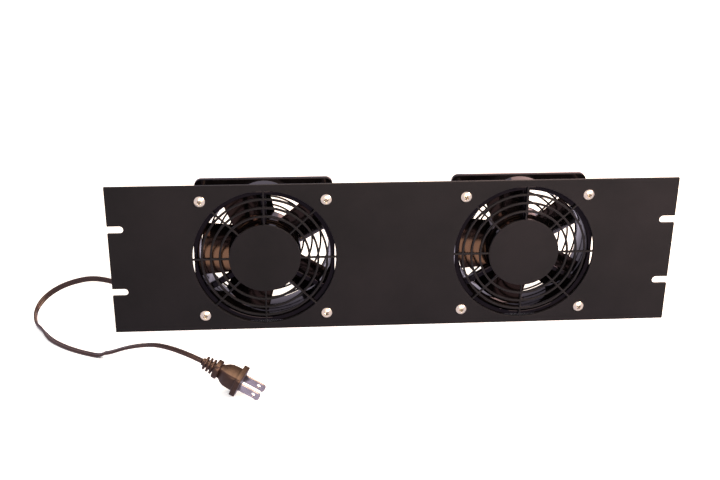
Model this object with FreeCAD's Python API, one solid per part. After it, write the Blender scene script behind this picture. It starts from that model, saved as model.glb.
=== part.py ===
import FreeCAD, Part
import math
import os

# Rack fan panel: a 3U front panel with two grilles cut in it, and an axial mains fan behind each.
# Millimetres. +X to the right seen from the front, +Y into the rack, +Z up. The origin is the
# middle of the panel's rear face, which seats on the rack's rails.

Vector = FreeCAD.Vector
back = Vector(0, 1, 0)

# Panel
panel_width = 482.6
panel_height = 132.5
panel_thickness = 2.5
slot_height = 6.4
slot_depth = 13.4
slot_spacing = 57.15

# Grille cut in the panel
grille_radius = 60.7
grille_disc_radius = 30.4
grille_ring_count = 3
grille_ring_width = 1.8
grille_spoke_count = 8
grille_spoke_width = 1.4

# Fan housing
fan_from_end = 129.9
fan_offset = panel_width / 2 - fan_from_end
fan_depth = 38.0
fan_corner_radius = 6.0
flange_thickness = 5.0
duct_radius = 55.8
duct_flare = 0.8
duct_lip_depth = 3.0
barrel_wall = 2.7
barrel_radius = duct_radius + barrel_wall
flange_margin = 1.0
fan_size = 2 * (barrel_radius + flange_margin)
screw_inset = 7.1
screw_pitch = fan_size - 2 * screw_inset
screw_hole_radius = 2.25

# Spider: the motor's base and the struts that carry it
base_front = 1.0
base_rounding = 0.8
base_radius = 29.0
base_wall = 2.2
base_depth = 7.4
strut_angles = (90.0, 210.0, 330.0)
lead_strut_angle = 210.0
strut_width = 5.2
strut_depth = 5.0
strut_draft = 0.7
strut_nose = 1.3
strut_overlap = 1.0
lead_channel_width = 3.4
lead_channel_depth = 1.6
lead_channel_wall = 1.0

# Bearing tube
tube_radius = 6.0
tube_end = 28.8
bearing_radius = 4.5
bearing_bore = 2.0
bearing_width = 4.0
front_bearing_front = 5.6
rear_bearing_front = 24.6
shoulder_radius = 3.6
preload_washer_thickness = 0.6
preload_washer_bore = 3.7
bearing_fit = 0.02
running_fit = 0.03
match_tolerance = 1e-6

# Rotor
shaft_front = 3.6
ring_groove_front = 4.6
ring_groove_width = 0.7
ring_groove_radius = 1.5
retaining_ring_radius = 3.4
retaining_ring_thickness = 0.6
retaining_ring_gap = 80.0
bore_plug_thickness = 0.8
cup_radius = 27.5
cup_wall = 1.0
cup_front = 9.6
cup_back = 32.4
cup_hub_radius = 3.2
cup_rounding = 1.2
cup_end_gap = 0.3
rotor_core_inner = 22.4
rotor_core_front = 11.0
rotor_core_back = 28.0

# Stator
air_gap = 0.3
stator_front = 12.0
stator_back = 26.0
pole_count = 4
pole_width = 9.0
pole_shoe_depth = 2.6
pole_slot_width = 4.0
stator_yoke_radius = 11.0
coil_thickness = 3.0
coil_clearance = 0.2
coil_inner = 11.3
coil_outer = 17.4

# Impeller
hub_radius = 31.0
hub_rounding = 0.8
blade_count = 5
blade_phase = 35.0
blade_root_width = 34.0
blade_tip_width = 40.0
blade_tip_gap = 1.0
blade_front = 10.4
blade_back = 32.6
blade_middle_thickness = 2.2
blade_edge_thickness = 1.0
blade_root_camber = 2.2
blade_tip_camber = 3.6
blade_sink = 0.8

# Rear finger guard, of square wire
guard_wire = 1.8
guard_weld = 0.2
guard_outer_radius = duct_radius + duct_flare
guard_ring_step = 7.6
guard_ring_count = 7
guard_loop_clearance = 0.15

# Screws, lock washers and nuts
screw_radius = 2.08
screw_length = 50.8
screw_head_radius = 4.85
screw_head_height = 2.6
screw_head_rim = 0.5
washer_radius = 4.0
washer_thickness = 1.0
nut_flats = 8.7
nut_height = 3.2
nut_fit = 0.05

# Mains terminals on each housing
terminal_rise = 23.5
terminal_height = terminal_rise - fan_size / 2
terminal_block_width = 16.0
terminal_block_depth = 13.0
terminal_block_inset = 6.5
terminal_block_face = barrel_radius - terminal_block_inset
terminal_block_wall = 4.0
terminal_spacing = 9.0
tab_width = 2.8
tab_thickness = 0.5
tab_length = 7.0
tab_root = 2.0
lead_radius = 0.7
lead_inner_end = 21.5

# Connector that the supply cord ends in, on the left fan's tabs
connector_width = 18.0
connector_depth = 11.0
connector_length = 16.0
connector_corner = 2.5
connector_gap = 0.3
connector_tab_clearance = 0.2
connector_relief_length = 9.0
connector_relief_radius = 4.2
connector_relief_end_radius = 3.2

# Supply cord: a flat two-core cord, here as a round tube of about the same section
cord_radius = 2.0
cord_bend_share = 0.45
# Its corners: across from the left fan's axis, behind the panel, and above the bench
cord_points = (
    (-112.6, 19.0, 30.25),
    (-146.6, 28.5, 39.25),
    (-173.6, 35.5, 31.25),
    (-192.6, 36.5, 20.75),
    (-203.1, 29.5, 10.25),
    (-202.0, 14.5, 3.4),
    (-192.0, 0.5, 2.1),
    (-182.6, -16.0, 2.05),
    (-161.6, -34.5, 2.05),
    (-135.6, -47.5, 2.05),
    (-106.6, -60.5, 17.75),
    (-75.6, -81.0, 28.25),
)

# Mains plug: its face is at plug_place, measured as the cord's corners are.
# Its blades point along its own +X.
plug_place = (-17.8, -111.2, 9.75)
plug_heading = -18.0
plug_tilt = 24.0
plug_roll = 1.5
plug_flange_width = 22.7
plug_flange_height = 16.2
plug_flange_thickness = 3.3
plug_flange_corner = 1.5
plug_grip_length = 16.7
plug_grip_width = 17.0
plug_grip_height = 11.0
plug_neck_width = 9.5
plug_neck_height = 8.3
plug_grip_corner = 2.5
plug_collar_length = 3.2
plug_collar_width = 13.0
plug_collar_height = 11.0
plug_collar_corner = 4.0
plug_relief_length = 11.3
plug_relief_width = 8.0
plug_relief_height = 6.6
plug_tail_width = 7.0
plug_tail_height = 5.0
plug_rib_count = 3
plug_rib_thickness = 1.7
plug_rib_height = 1.5
prong_spacing = 12.7
prong_length = 18.0
prong_root = 8.0
prong_thickness = 1.5
prong_width = 6.35
prong_hole_radius = 1.55
prong_hole_from_tip = 3.4
plug_length = plug_flange_thickness + plug_grip_length + plug_collar_length + plug_relief_length


def cylinder(radius, start, end):
    """A cylinder on the Y axis between two depths."""
    return Part.makeCylinder(radius, end - start, Vector(0, start, 0), back)


def ring(outer, inner, start, end):
    """A tube on the Y axis between two depths."""
    return cylinder(outer, start, end).cut(cylinder(inner, start, end))


def block(x0, x1, y0, y1, z0, z1):
    """A box between two corners."""
    return Part.makeBox(x1 - x0, y1 - y0, z1 - z0, Vector(x0, y0, z0))


def turned(shape, degrees):
    """A copy turned about the Y axis, anticlockwise seen from the front."""
    copy = shape.copy()
    copy.rotate(Vector(0, 0, 0), Vector(0, -1, 0), degrees)
    return copy


def moved(shape, x, z=0.0):
    """A copy moved across the panel."""
    copy = shape.copy()
    copy.translate(Vector(x, 0, z))
    return copy


def fused(shapes):
    """One solid from touching shapes, without the seams between flush faces."""
    return shapes[0].multiFuse(shapes[1:]).removeSplitter()


def at_screws(shape):
    """Copies of a piece made at the origin, one at each corner screw of a fan."""
    half = screw_pitch / 2
    return [moved(shape, x, z) for x in (-half, half) for z in (-half, half)]


def runs_along(edge, direction):
    """Whether a straight edge lies along a direction."""
    start, end = edge.Vertexes
    return (end.Point - start.Point).normalize().cross(direction).Length < match_tolerance


def rim_rounded(solid, depth, radius):
    """A turned solid with its rim at one depth rounded."""
    rims = [edge for edge in solid.Edges
            if edge.isClosed() and abs(edge.CenterOfMass.y - depth) < match_tolerance]
    return solid.makeFillet(radius, rims)


def oblong(x, width, height, corner):
    """A rectangle with round corners in the plane at x: width along Y, height along Z."""
    corner = min(corner, 0.499 * min(width, height))
    y = width / 2
    z = height / 2
    plate = Part.makeBox(width, width, height, Vector(x, -y, -z))
    sides = [edge for edge in plate.Edges if runs_along(edge, Vector(1, 0, 0))]
    rounded = plate.makeFillet(corner, sides)
    face = min(rounded.Faces, key=lambda candidate: candidate.CenterOfMass.x)
    return face.OuterWire


def build_panel():
    """The front panel, with the grilles, screw holes and open-ended rack slots cut out of it."""
    half_width = panel_width / 2
    half_height = panel_height / 2
    plate = block(-half_width, half_width, -panel_thickness, 0, -half_height, half_height)
    cuts = []
    for side in (-1, 1):
        cuts += [moved(window, side * fan_offset) for window in grille_windows()]
        hole = cylinder(screw_hole_radius, -panel_thickness, 0)
        cuts += [moved(copy, side * fan_offset) for copy in at_screws(hole)]
        cuts += [rack_slot(side, z) for z in (-slot_spacing / 2, slot_spacing / 2)]
    return plate.cut(cuts)


def rack_slot(side, z):
    """The cutter for one slot, from the panel's end to the slot's half-round inner end."""
    radius = slot_height / 2
    end = side * panel_width / 2
    centre = side * (panel_width / 2 - slot_depth + radius)
    straight = block(min(centre, end), max(centre, end), -panel_thickness, 0, z - radius, z + radius)
    return fused([straight, moved(cylinder(radius, -panel_thickness, 0), centre, z)])


def grille_windows():
    """The cutters for the gaps between the grille's rings, with the spokes left out of them."""
    step = (grille_radius - grille_disc_radius) / (grille_ring_count + 1)
    half = grille_ring_width / 2
    spoke = block(0, grille_radius, -panel_thickness, 0, -grille_spoke_width / 2, grille_spoke_width / 2)
    spokes = [turned(spoke, 360 / grille_spoke_count * k) for k in range(grille_spoke_count)]
    windows = []
    for gap in range(grille_ring_count + 1):
        inner = grille_disc_radius + step * gap + (half if gap > 0 else 0)
        outer = grille_disc_radius + step * (gap + 1) - (half if gap < grille_ring_count else 0)
        windows += ring(outer, inner, -panel_thickness, 0).cut(spokes).Solids
    return windows


def flange(start):
    """One square flange of the housing, with its round corners and screw holes."""
    half = fan_size / 2
    plate = block(-half, half, start, start + flange_thickness, -half, half)
    corners = [edge for edge in plate.Edges if runs_along(edge, back)]
    plate = plate.makeFillet(fan_corner_radius, corners)
    return plate.cut(at_screws(cylinder(screw_hole_radius, start, start + flange_thickness)))


def duct():
    """The air's way through the housing, flared at both ends."""
    lip = duct_lip_depth
    lip_radius = duct_radius + duct_flare
    inlet = Part.makeCone(lip_radius, duct_radius, lip, Vector(0, 0, 0), back)
    outlet = Part.makeCone(duct_radius, lip_radius, lip, Vector(0, fan_depth - lip, 0), back)
    return fused([cylinder(duct_radius, 0, fan_depth), inlet, outlet])


def nosed(bar):
    """A strut with its two front edges rounded."""
    edges = [edge for edge in bar.Edges
             if edge.CenterOfMass.y < base_front + match_tolerance and runs_along(edge, Vector(1, 0, 0))]
    return bar.makeFillet(strut_nose, edges)


def strut():
    """A strut along +X, from the motor's base into the duct's wall, thinner towards the back."""
    inner = base_radius - strut_overlap
    outer = duct_radius + strut_overlap
    front = base_front
    rear = base_front + strut_depth
    half = strut_width / 2
    narrow = half * strut_draft
    outline = [Vector(inner, front, -half), Vector(inner, rear, -narrow),
               Vector(inner, rear, narrow), Vector(inner, front, half)]
    return nosed(Part.Face(Part.makePolygon(outline + outline[:1])).extrude(Vector(outer - inner, 0, 0)))


def lead_strut():
    """The strut that carries the motor's leads, with a channel along its back."""
    inner = base_radius - strut_overlap
    outer = duct_radius + strut_overlap
    half = lead_channel_width / 2 + lead_channel_wall
    bar = nosed(block(inner, outer, base_front, base_front + strut_depth, -half, half))
    return bar.cut(lead_channel(inner, outer))


def lead_channel(inner, outer):
    """The room for the motor's leads, along +X."""
    half = lead_channel_width / 2
    end = base_front + strut_depth
    return block(inner, outer, end - lead_channel_depth, end, -half, half)


def motor_base():
    """The motor's base: a shallow dish open to the back, with the bearing tube in its middle."""
    front = base_front
    dish = rim_rounded(cylinder(base_radius, front, front + base_depth), front, base_rounding)
    dish = dish.cut(cylinder(bearing_radius, front, front + base_depth))
    dish = dish.cut(ring(base_radius - base_wall, tube_radius, front + base_wall, front + base_depth))
    tube = ring(tube_radius, bearing_radius, front, tube_end)
    shoulder_start = front_bearing_front + bearing_width
    shoulder_end = rear_bearing_front - preload_washer_thickness
    shoulder = ring(bearing_radius, shoulder_radius, shoulder_start, shoulder_end)
    return fused([dish, tube, shoulder])


def build_housing():
    """The cast housing: flanges, barrel, struts, motor base and bearing tube in one piece."""
    shell = fused([cylinder(barrel_radius, 0, fan_depth), flange(0), flange(fan_depth - flange_thickness)])
    shell = shell.cut(duct())
    struts = [turned(strut(), angle) for angle in strut_angles if angle != lead_strut_angle]
    struts.append(turned(lead_strut(), lead_strut_angle))
    housing = fused([shell, motor_base()] + struts)
    leads_way = turned(lead_channel(lead_inner_end, barrel_radius + strut_overlap), lead_strut_angle)
    return housing.cut(leads_way)


def build_bearing(start):
    """A shielded ball bearing, as one closed ring."""
    return ring(bearing_radius - bearing_fit, bearing_bore, start, start + bearing_width)


def build_preload_washer():
    """The washer that loads the rear bearing, between it and the tube's shoulder."""
    end = rear_bearing_front
    return ring(bearing_radius - 0.1, preload_washer_bore, end - preload_washer_thickness, end)


def build_shaft():
    """The shaft, with the groove for its retaining ring near the front end."""
    radius = bearing_bore - running_fit
    body = cylinder(radius, shaft_front, cup_back)
    groove = ring(radius, ring_groove_radius, ring_groove_front, ring_groove_front + ring_groove_width)
    return body.cut(groove)


def build_retaining_ring():
    """The open ring that sits in the shaft's groove, in front of the front bearing."""
    start = ring_groove_front + (ring_groove_width - retaining_ring_thickness) / 2
    inner = ring_groove_radius + running_fit
    body = ring(retaining_ring_radius, inner, start, start + retaining_ring_thickness)
    reach = retaining_ring_radius
    mouth = block(0, reach, start, start + retaining_ring_thickness, -inner * 0.8, inner * 0.8)
    return body.cut(turned(mouth, retaining_ring_gap))


def build_bore_plug():
    """The disc that closes the bearing tube's front end."""
    return cylinder(bearing_radius - bearing_fit, base_front, base_front + bore_plug_thickness)


def build_rotor_cup():
    """The pressed steel cup that turns round the stator, with a hub on the shaft."""
    inner = cup_radius - cup_wall
    shell = rim_rounded(cylinder(cup_radius, cup_front, cup_back), cup_back, cup_rounding)
    shell = shell.cut(cylinder(inner, cup_front, cup_back - cup_wall))
    hub_start = rear_bearing_front + bearing_width + cup_end_gap
    hub = cylinder(cup_hub_radius, hub_start, cup_back)
    return fused([shell, hub]).cut(cylinder(bearing_bore - running_fit, hub_start, cup_back))


def build_rotor_core():
    """The rotor's ring of laminations, pressed into the cup."""
    return ring(cup_radius - cup_wall, rotor_core_inner, rotor_core_front, rotor_core_back)


def build_stator_core():
    """The stator's laminations: a yoke on the bearing tube and poles with wide shoes."""
    outer = rotor_core_inner - air_gap
    start = stator_front
    end = stator_back
    yoke = cylinder(stator_yoke_radius, start, end)
    pole = block(0, outer - pole_shoe_depth / 2, start, end, -pole_width / 2, pole_width / 2)
    shoes = ring(outer, outer - pole_shoe_depth, start, end)
    slot = block(0, outer, start, end, -pole_slot_width / 2, pole_slot_width / 2)
    step = 360 / pole_count
    shoes = shoes.cut([turned(slot, step * (k + 0.5)) for k in range(pole_count)])
    poles = [turned(pole, step * k) for k in range(pole_count)]
    core = fused([yoke] + poles + shoes.Solids)
    return core.cut(cylinder(tube_radius, start, end))


def build_windings():
    """One coil round each pole."""
    inner_half = pole_width / 2 + coil_clearance
    outer_half = inner_half + coil_thickness
    start = stator_front - coil_clearance
    end = stator_back + coil_clearance
    coil = block(coil_inner, coil_outer, start - coil_thickness / 1.5, end + coil_thickness / 1.5,
                 -outer_half, outer_half)
    coil = coil.cut(block(coil_inner, coil_outer, start, end, -inner_half, inner_half))
    return Part.makeCompound([turned(coil, 360 / pole_count * k) for k in range(pole_count)])


def blade_section(x, width, camber):
    """A blade's closed outline in the plane at x, its front edge leading anticlockwise."""
    front = Vector(x, blade_front, width / 2)
    rear = Vector(x, blade_back, -width / 2)
    chord = (rear - front).normalize()
    out = Vector(0, chord.z, -chord.y)
    middle = (front + rear) * 0.5 + out * camber
    edge = out * (blade_edge_thickness / 2)
    waist = out * (blade_middle_thickness / 2)
    upper = Part.Arc(front + edge, middle + waist, rear + edge).toShape()
    lower = Part.Arc(rear - edge, middle - waist, front - edge).toShape()
    nose = Part.LineSegment(front - edge, front + edge).toShape()
    tail = Part.LineSegment(rear + edge, rear - edge).toShape()
    return Part.Wire([nose, upper, tail, lower])


def build_impeller():
    """The impeller: a hub ring pressed on the rotor cup, and twisted, cambered blades."""
    tip = duct_radius - blade_tip_gap
    root = hub_radius - blade_sink
    innermost = math.sqrt(root ** 2 - (blade_root_width / 2) ** 2) - blade_sink
    middle_width = (blade_root_width + blade_tip_width) / 2
    middle_camber = (blade_root_camber + blade_tip_camber) / 2
    sections = [blade_section(innermost, blade_root_width, blade_root_camber),
                blade_section((innermost + tip) / 2, middle_width, middle_camber),
                blade_section(tip + blade_sink, blade_tip_width, blade_tip_camber)]
    blank = Part.makeLoft(sections, True, False)
    blade = blank.common(ring(tip, root, cup_front, fan_depth))
    hub = cylinder(hub_radius, cup_front, cup_back)
    for depth in (cup_front, cup_back):
        hub = rim_rounded(hub, depth, hub_rounding)
    hub = hub.cut(cylinder(cup_radius, cup_front, cup_back))
    blades = [turned(blade, blade_phase + 360 / blade_count * k) for k in range(blade_count)]
    return hub.multiFuse(blades)


def build_guard():
    """The rear finger guard: rings welded on four arms, each arm ending in a loop at a screw."""
    start = fan_depth
    wire = guard_wire
    rings_start = start + wire - guard_weld
    radii = [guard_outer_radius - guard_ring_step * k for k in range(guard_ring_count)]
    rings = [ring(r + wire / 2, r - wire / 2, rings_start, rings_start + wire) for r in radii]
    loop_inner = screw_hole_radius + guard_loop_clearance
    loops = at_screws(ring(loop_inner + wire, loop_inner, start, start + wire))
    screw_reach = screw_pitch / math.sqrt(2)
    arm_end = screw_reach - loop_inner - wire / 2
    arm = block(radii[-1] - wire, arm_end, start, start + wire, -wire / 2, wire / 2)
    arms = [turned(arm, 45 + 90 * k) for k in range(4)]
    return fused(rings + loops + arms)


def build_screws():
    """The truss-head screws that hold a fan and its guard, each through panel and housing."""
    seat = -panel_thickness
    rim = seat - screw_head_rim
    rise = screw_head_height - screw_head_rim
    dome_radius = (screw_head_radius**2 + rise**2) / (2 * rise)
    half_angle = math.asin(screw_head_radius / dome_radius) / 2
    top = seat - screw_head_height
    shoulder = Vector(dome_radius * math.sin(half_angle), top + dome_radius * (1 - math.cos(half_angle)), 0)
    dome = Part.Arc(Vector(screw_head_radius, rim, 0), shoulder, Vector(0, top, 0)).toShape()
    end = seat + screw_length
    shank = Part.makePolygon([Vector(0, top, 0), Vector(0, end, 0), Vector(screw_radius, end, 0),
                              Vector(screw_radius, seat, 0), Vector(screw_head_radius, seat, 0),
                              Vector(screw_head_radius, rim, 0)])
    profile = Part.Face(Part.Wire(shank.Edges + [dome]))
    return Part.makeCompound(at_screws(profile.revolve(Vector(0, 0, 0), back, 360)))


def build_washers():
    """The lock washers, on the guard's loops."""
    start = fan_depth + guard_wire
    washer = ring(washer_radius, screw_hole_radius, start, start + washer_thickness)
    return Part.makeCompound(at_screws(washer))


def build_nuts():
    """The hexagon nuts, on the lock washers."""
    start = fan_depth + guard_wire + washer_thickness
    corner = nut_flats / math.sqrt(3)
    turns = [math.radians(60 * k) for k in range(6)]
    points = [Vector(corner * math.cos(angle), start, corner * math.sin(angle)) for angle in turns]
    prism = Part.Face(Part.makePolygon(points + points[:1])).extrude(Vector(0, nut_height, 0))
    bore = cylinder(screw_radius + nut_fit, start, start + nut_height)
    return Part.makeCompound(at_screws(prism.cut(bore)))


def tab_heights():
    """The heights of a fan's two terminal tabs."""
    return (terminal_height - terminal_spacing / 2, terminal_height + terminal_spacing / 2)


def tab(z, room=0.0):
    """A terminal tab on the housing's -X side, or the room for it in its neighbours."""
    middle = fan_depth / 2
    outer = -terminal_block_face - tab_length
    half_width = tab_width / 2 + room
    half_thickness = tab_thickness / 2 + room
    root = -terminal_block_face + tab_root
    return block(outer - room, root, middle - half_width, middle + half_width,
                 z - half_thickness, z + half_thickness)


def build_terminal_block():
    """The block between the flanges that holds the tabs, seated on the barrel."""
    middle = fan_depth / 2
    half_depth = terminal_block_depth / 2
    half_width = terminal_block_width / 2
    body = block(-terminal_block_face, -terminal_block_face + terminal_block_depth + terminal_block_wall,
                 middle - half_depth, middle + half_depth,
                 terminal_height - half_width, terminal_height + half_width)
    body = body.cut(cylinder(barrel_radius + bearing_fit, 0, fan_depth))
    return body.cut([tab(z) for z in tab_heights()])


def build_tabs():
    """The two flat terminal tabs."""
    return Part.makeCompound([tab(z) for z in tab_heights()])


def build_leads():
    """The motor's two insulated leads, in the channel of the lead strut."""
    depth = base_front + strut_depth - lead_channel_depth / 2
    lead = Part.makeCylinder(lead_radius, barrel_radius - lead_inner_end,
                             Vector(lead_inner_end, depth, 0), Vector(1, 0, 0))
    offset = lead_radius + 0.1
    return Part.makeCompound([turned(moved(lead, 0, z), lead_strut_angle) for z in (-offset, offset)])


def build_connector():
    """The moulded connector on the left fan's tabs, with a tapered relief for the cord."""
    middle = fan_depth / 2
    near = -terminal_block_face - connector_gap
    far = near - connector_length
    body = block(far, near, middle - connector_depth / 2, middle + connector_depth / 2,
                 terminal_height - connector_width / 2, terminal_height + connector_width / 2)
    outer_edges = [edge for edge in body.Edges if edge.CenterOfMass.x < near - 0.1]
    body = body.makeFillet(connector_corner, outer_edges)
    relief = Part.makeCone(connector_relief_radius, connector_relief_end_radius, connector_relief_length,
                           Vector(far, middle, terminal_height), Vector(-1, 0, 0))
    body = fused([body, relief]).cut([tab(z, connector_tab_clearance) for z in tab_heights()])
    return moved(body, -fan_offset)


def connector_mouth():
    """The point where the cord leaves the connector."""
    reach = terminal_block_face + connector_gap + connector_length + connector_relief_length
    return Vector(-fan_offset - reach, fan_depth / 2, terminal_height)


def on_bench(point):
    """A point given across from the left fan's axis, behind the panel, and above the bench."""
    x, y, height = point
    return Vector(x - fan_offset, y, height - panel_height / 2)


def plug_position():
    """The plug's place and attitude, lying on its blades' tips."""
    return FreeCAD.Placement(on_bench(plug_place), FreeCAD.Rotation(plug_heading, plug_tilt, plug_roll))


def prong(y):
    """One flat blade of the plug, rounded and pierced at its tip."""
    body = Part.makeBox(prong_length + prong_root, prong_thickness, prong_width,
                        Vector(-prong_root, y - prong_thickness / 2, -prong_width / 2))
    tips = [edge for edge in body.Edges
            if runs_along(edge, back) and abs(edge.CenterOfMass.x - prong_length) < match_tolerance]
    body = body.makeFillet(prong_width / 3, tips)
    hole = Part.makeCylinder(prong_hole_radius, prong_thickness,
                             Vector(prong_length - prong_hole_from_tip, y - prong_thickness / 2, 0), back)
    return body.cut(hole)


def prongs():
    """The plug's two blades."""
    return [prong(y) for y in (-prong_spacing / 2, prong_spacing / 2)]


def tapered(stations, corner):
    """A solid through oblong sections, each a distance, a width and a height."""
    wires = [oblong(x, width, height, corner) for x, width, height in stations]
    return Part.makeLoft(wires, True, True)


def build_plug_body():
    """The moulded plug: face flange, shouldered grip, collar and ribbed strain relief."""
    back_of_flange = -plug_flange_thickness
    neck = back_of_flange - plug_grip_length
    relief_start = neck - plug_collar_length
    shoulder = back_of_flange - plug_grip_length * 0.45
    shoulder_width = plug_neck_width + (plug_grip_width - plug_neck_width) * 0.85
    shoulder_height = plug_neck_height + (plug_grip_height - plug_neck_height) * 0.9
    flat = tapered([(back_of_flange, plug_flange_width, plug_flange_height),
                    (0, plug_flange_width, plug_flange_height)], plug_flange_corner)
    grip = tapered([(neck, plug_neck_width, plug_neck_height),
                    (shoulder, shoulder_width, shoulder_height),
                    (back_of_flange, plug_grip_width, plug_grip_height)], plug_grip_corner)
    collar = tapered([(relief_start, plug_collar_width, plug_collar_height),
                      (neck, plug_collar_width, plug_collar_height)], plug_collar_corner)
    relief = tapered([(-plug_length, plug_tail_width, plug_tail_height),
                      (relief_start, plug_relief_width, plug_relief_height)], plug_grip_corner)
    body = fused([flat, grip, collar, relief] + plug_ribs())
    body = body.cut(prongs())
    body.Placement = plug_position()
    return body


def plug_ribs():
    """The strain relief's ribs, each standing out of its taper."""
    ribs = []
    pitch = plug_relief_length / plug_rib_count
    for k in range(plug_rib_count):
        share = k / plug_rib_count
        width = plug_tail_width + (plug_relief_width - plug_tail_width) * share + 2 * plug_rib_height
        height = plug_tail_height + (plug_relief_height - plug_tail_height) * share + 2 * plug_rib_height
        start = -plug_length + pitch * k + plug_rib_thickness / 2
        ribs.append(tapered([(start, width, height), (start + plug_rib_thickness, width, height)],
                            plug_collar_corner))
    return ribs


def build_prongs():
    """The plug's blades where the plug lies."""
    blades = Part.makeCompound(prongs())
    blades.Placement = plug_position()
    return blades


def build_cord():
    """The cord's tube: straight runs joined by tangent arcs."""
    tail = plug_position().multVec(Vector(-plug_length, 0, 0))
    points = [connector_mouth()] + [on_bench(point) for point in cord_points] + [tail]
    edges = []
    start = points[0]
    radii = []
    for before, corner, after in zip(points, points[1:], points[2:]):
        run_in = corner - before
        run_out = after - corner
        cut = cord_bend_share * min(run_in.Length, run_out.Length)
        half_turn = run_in.getAngle(run_out) / 2
        radius = cut / math.tan(half_turn)
        arc_start = corner - run_in.normalize() * cut
        arc_end = corner + run_out.normalize() * cut
        inward = ((arc_start + arc_end) * 0.5 - corner).normalize()
        arc_middle = corner + inward * (radius / math.cos(half_turn) - radius)
        edges.append(Part.LineSegment(start, arc_start).toShape())
        edges.append(Part.Arc(arc_start, arc_middle, arc_end).toShape())
        start = arc_end
        radii.append(radius)
    edges.append(Part.LineSegment(start, points[-1]).toShape())
    path = Part.Wire(edges)
    section = Part.Wire(Part.makeCircle(cord_radius, points[0], points[1] - points[0]))
    tube = path.makePipe(Part.Face(section))
    print("cord bend radii:", [round(radius) for radius in radii])
    print("cord length:", round(path.Length, 1))
    print("cord volume over section x length:", tube.Volume / (math.pi * cord_radius**2 * path.Length))
    return tube


def save(shape, name):
    """Write one node's STEP file."""
    shape.exportStep(f"parts/{name}.step")


fan_pieces = {
    "fan_frame": build_housing,
    "impeller": build_impeller,
    "rotor_cup": build_rotor_cup,
    "rotor_core": build_rotor_core,
    "shaft": build_shaft,
    "retaining_ring": build_retaining_ring,
    "front_bearing": lambda: build_bearing(front_bearing_front),
    "rear_bearing": lambda: build_bearing(rear_bearing_front),
    "preload_washer": build_preload_washer,
    "bore_plug": build_bore_plug,
    "stator_core": build_stator_core,
    "stator_windings": build_windings,
    "motor_leads": build_leads,
    "terminal_block": build_terminal_block,
    "terminal_tabs": build_tabs,
    "rear_guard": build_guard,
    "mounting_screws": build_screws,
    "lock_washers": build_washers,
    "lock_nuts": build_nuts,
}

os.makedirs("parts", exist_ok=True)
save(build_panel(), "panel")
for piece, build in fan_pieces.items():
    solid = build()
    save(moved(solid, -fan_offset), f"left_{piece}")
    save(moved(solid, fan_offset), f"right_{piece}")
save(build_connector(), "fan_connector")
save(build_cord(), "supply_cord")
save(build_plug_body(), "plug_body")
save(build_prongs(), "plug_blades")
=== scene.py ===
import bmesh
import bpy
import math
from mathutils import Matrix, Vector


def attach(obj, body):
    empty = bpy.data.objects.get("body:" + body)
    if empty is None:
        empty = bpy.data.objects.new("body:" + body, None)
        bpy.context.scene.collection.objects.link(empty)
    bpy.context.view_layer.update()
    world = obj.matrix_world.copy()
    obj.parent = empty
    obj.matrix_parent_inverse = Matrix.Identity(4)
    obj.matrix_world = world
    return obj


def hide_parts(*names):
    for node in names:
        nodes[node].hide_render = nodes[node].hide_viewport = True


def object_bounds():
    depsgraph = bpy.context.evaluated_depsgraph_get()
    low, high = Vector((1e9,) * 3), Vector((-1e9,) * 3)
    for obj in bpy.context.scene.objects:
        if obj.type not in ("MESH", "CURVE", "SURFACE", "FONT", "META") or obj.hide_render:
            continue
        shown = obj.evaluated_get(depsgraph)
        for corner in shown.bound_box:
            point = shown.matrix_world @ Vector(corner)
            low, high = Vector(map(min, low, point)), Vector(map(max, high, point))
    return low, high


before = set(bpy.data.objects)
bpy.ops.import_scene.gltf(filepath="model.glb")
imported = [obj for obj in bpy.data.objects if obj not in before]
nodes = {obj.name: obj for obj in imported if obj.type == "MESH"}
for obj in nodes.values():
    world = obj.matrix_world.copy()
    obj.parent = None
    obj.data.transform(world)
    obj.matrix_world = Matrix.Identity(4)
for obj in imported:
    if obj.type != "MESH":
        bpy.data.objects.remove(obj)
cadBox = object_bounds()
mm = 0.001
quarter = math.pi / 2
sides = {"left": -0.1114, "right": 0.1114}  # each fan's place across the panel, in metres
screwReach = 52.4  # half of the screws' pitch, in millimetres
screwPlaces = [(x, z) for x in (-screwReach, screwReach) for z in (-screwReach, screwReach)]  # round each fan's axis


# Selecting, adding and finishing

def clearSelection():
    if bpy.context.object and bpy.context.object.mode != "OBJECT":
        bpy.ops.object.mode_set(mode="OBJECT")
    bpy.ops.object.select_all(action="DESELECT")


def pick(piece):
    clearSelection()
    piece.select_set(True)
    bpy.context.view_layer.objects.active = piece
    return piece


def settle(piece):  # the place goes into the mesh
    pick(piece)
    bpy.ops.object.transform_apply(location=True, rotation=True, scale=True)
    return piece


def named(name):
    piece = bpy.context.object
    piece.name = name
    piece.data.name = name
    return settle(piece)


def box(name, low, high):
    clearSelection()
    size = [(b - a) * mm for a, b in zip(low, high)]
    middle = [(a + b) / 2 * mm for a, b in zip(low, high)]
    bpy.ops.mesh.primitive_cube_add(size=1, location=middle, scale=size)
    return named(name)


def rod(name, radius, start, end, facets=64, x=0, z=0):  # along Y between two depths
    clearSelection()
    bpy.ops.mesh.primitive_cylinder_add(vertices=facets, radius=radius * mm, depth=(end - start) * mm,
                                        location=(x * mm, (start + end) / 2 * mm, z * mm), rotation=(quarter, 0, 0))
    return named(name)


def editing(piece, mode="FACE"):
    pick(piece)
    bpy.ops.object.mode_set(mode="EDIT")
    bpy.ops.mesh.select_mode(type=mode)


def done():
    bpy.ops.object.mode_set(mode="OBJECT")


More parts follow.
